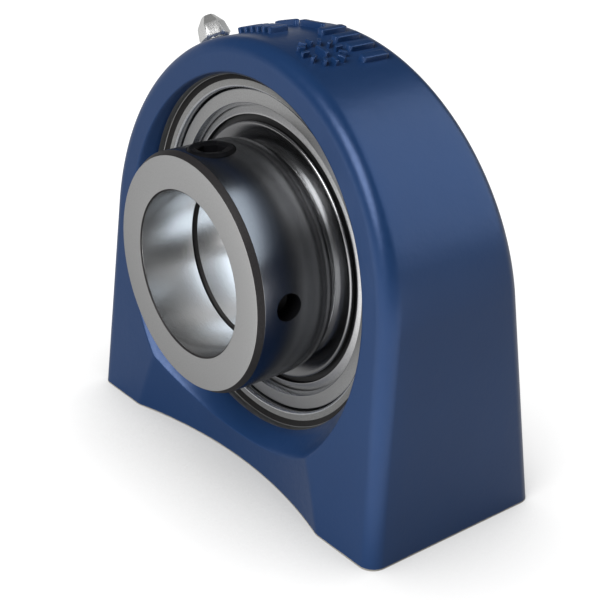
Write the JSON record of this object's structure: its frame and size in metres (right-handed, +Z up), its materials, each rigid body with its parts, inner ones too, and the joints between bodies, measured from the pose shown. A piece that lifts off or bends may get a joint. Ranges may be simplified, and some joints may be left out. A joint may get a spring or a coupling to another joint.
{
  "type": "pillow block bearing",
  "caption": "Short pillow block bearing: a round-topped cast housing bolted from below, with a self-aligning ball bearing insert, an eccentric locking collar and a grease nipple.",
  "frame": {"origin": "centre of the bearing, on the shaft axis, midway through the outer ring", "axes": "+Z up from the base, Y along the shaft with the locking collar at -Y, +X along the length of the base"},
  "size_m": [0.103, 0.0519, 0.0931],
  "materials": {
    "casting_paint": "blue paint over cast iron, satin",
    "ground_steel": "ground bearing steel",
    "raceway_steel": "finely ground bearing steel",
    "ball_steel": "polished bearing steel",
    "black_oxide": "black oxide with ground faces",
    "sheet_steel": "zinc-plated sheet steel",
    "seal_rubber": "black nitrile rubber",
    "cage_polyamide": "natural polyamide",
    "nipple_zinc": "bright zinc plating"
  },
  "bodies": {
    "housing": {"housing": "casting_paint", "nipple_body": "nipple_zinc", "nipple_spring": "nipple_zinc"},
    "outer_ring": {"outer_ring": "ground_steel", "front_seal_plate": "sheet_steel", "front_seal_lip": "seal_rubber", "rear_seal_plate": "sheet_steel", "rear_seal_lip": "seal_rubber"},
    "inner_ring": {"inner_ring": "raceway_steel", "front_flinger": "sheet_steel", "rear_flinger": "sheet_steel"},
    "cage": {"cage": "cage_polyamide"},
    "collar": {"locking_collar": "black_oxide"},
    "collar_screw": {"collar_screw": "black_oxide"},
    "nipple_valve": {"nipple_ball": "ball_steel"},
    "ball_1": {"ball_1": "ball_steel"},
    "ball_2": {"ball_2": "ball_steel"},
    "ball_3": {"ball_3": "ball_steel"},
    "ball_4": {"ball_4": "ball_steel"},
    "ball_5": {"ball_5": "ball_steel"},
    "ball_6": {"ball_6": "ball_steel"},
    "ball_7": {"ball_7": "ball_steel"},
    "ball_8": {"ball_8": "ball_steel"},
    "ball_9": {"ball_9": "ball_steel"}
  },
  "joints": [
    {"name": "self_align_tilt", "type": "hinge", "parent": "housing", "child": "outer_ring", "pos_m": [0, 0, 0], "axis": [1, 0, 0], "range_deg": [-5, 5]},
    {"name": "shaft_spin", "type": "hinge", "parent": "outer_ring", "child": "inner_ring", "pos_m": [0, 0, 0], "axis": [0, 1, 0], "continuous": true},
    {"name": "cage_spin", "type": "hinge", "parent": "outer_ring", "child": "cage", "pos_m": [0, 0, 0], "axis": [0, 1, 0], "continuous": true},
    {"name": "collar_turn", "type": "hinge", "parent": "inner_ring", "child": "collar", "pos_m": [0, 0, 0], "axis": [0, 1, 0], "range_deg": [-24, 24]},
    {"name": "collar_screw_travel", "type": "slide", "parent": "collar", "child": "collar_screw", "axis": [0, 0, 1], "range_m": [-0.0003, 0.0016]},
    {"name": "nipple_valve_travel", "type": "slide", "parent": "housing", "child": "nipple_valve", "axis": [0.5736, 0, -0.8192], "range_m": [0, 0.0008], "stiffness_N_per_m": 400, "springref_m": -0.0005, "deforming": ["nipple_spring"]},
    {"name": "ball_1_spin", "type": "hinge", "parent": "cage", "child": "ball_1", "pos_m": [0, 0, 0.02675], "axis": [0, 1, 0], "continuous": true},
    {"name": "ball_2_spin", "type": "hinge", "parent": "cage", "child": "ball_2", "pos_m": [-0.01719, 0, 0.02049], "axis": [0, 1, 0], "continuous": true},
    {"name": "ball_3_spin", "type": "hinge", "parent": "cage", "child": "ball_3", "pos_m": [-0.02634, 0, 0.00465], "axis": [0, 1, 0], "continuous": true},
    {"name": "ball_4_spin", "type": "hinge", "parent": "cage", "child": "ball_4", "pos_m": [-0.02317, 0, -0.01337], "axis": [0, 1, 0], "continuous": true},
    {"name": "ball_5_spin", "type": "hinge", "parent": "cage", "child": "ball_5", "pos_m": [-0.00915, 0, -0.02514], "axis": [0, 1, 0], "continuous": true},
    {"name": "ball_6_spin", "type": "hinge", "parent": "cage", "child": "ball_6", "pos_m": [0.00915, 0, -0.02514], "axis": [0, 1, 0], "continuous": true},
    {"name": "ball_7_spin", "type": "hinge", "parent": "cage", "child": "ball_7", "pos_m": [0.02317, 0, -0.01337], "axis": [0, 1, 0], "continuous": true},
    {"name": "ball_8_spin", "type": "hinge", "parent": "cage", "child": "ball_8", "pos_m": [0.02634, 0, 0.00465], "axis": [0, 1, 0], "continuous": true},
    {"name": "ball_9_spin", "type": "hinge", "parent": "cage", "child": "ball_9", "pos_m": [0.01719, 0, 0.02049], "axis": [0, 1, 0], "continuous": true}
  ],
  "couplings": [
    {"joint": "cage_spin", "follows": "shaft_spin", "ratio": 0.39615},
    {"joint": "ball_1_spin", "follows": "shaft_spin", "ratio": -2.3035},
    {"joint": "ball_2_spin", "follows": "shaft_spin", "ratio": -2.3035},
    {"joint": "ball_3_spin", "follows": "shaft_spin", "ratio": -2.3035},
    {"joint": "ball_4_spin", "follows": "shaft_spin", "ratio": -2.3035},
    {"joint": "ball_5_spin", "follows": "shaft_spin", "ratio": -2.3035},
    {"joint": "ball_6_spin", "follows": "shaft_spin", "ratio": -2.3035},
    {"joint": "ball_7_spin", "follows": "shaft_spin", "ratio": -2.3035},
    {"joint": "ball_8_spin", "follows": "shaft_spin", "ratio": -2.3035},
    {"joint": "ball_9_spin", "follows": "shaft_spin", "ratio": -2.3035}
  ]
}
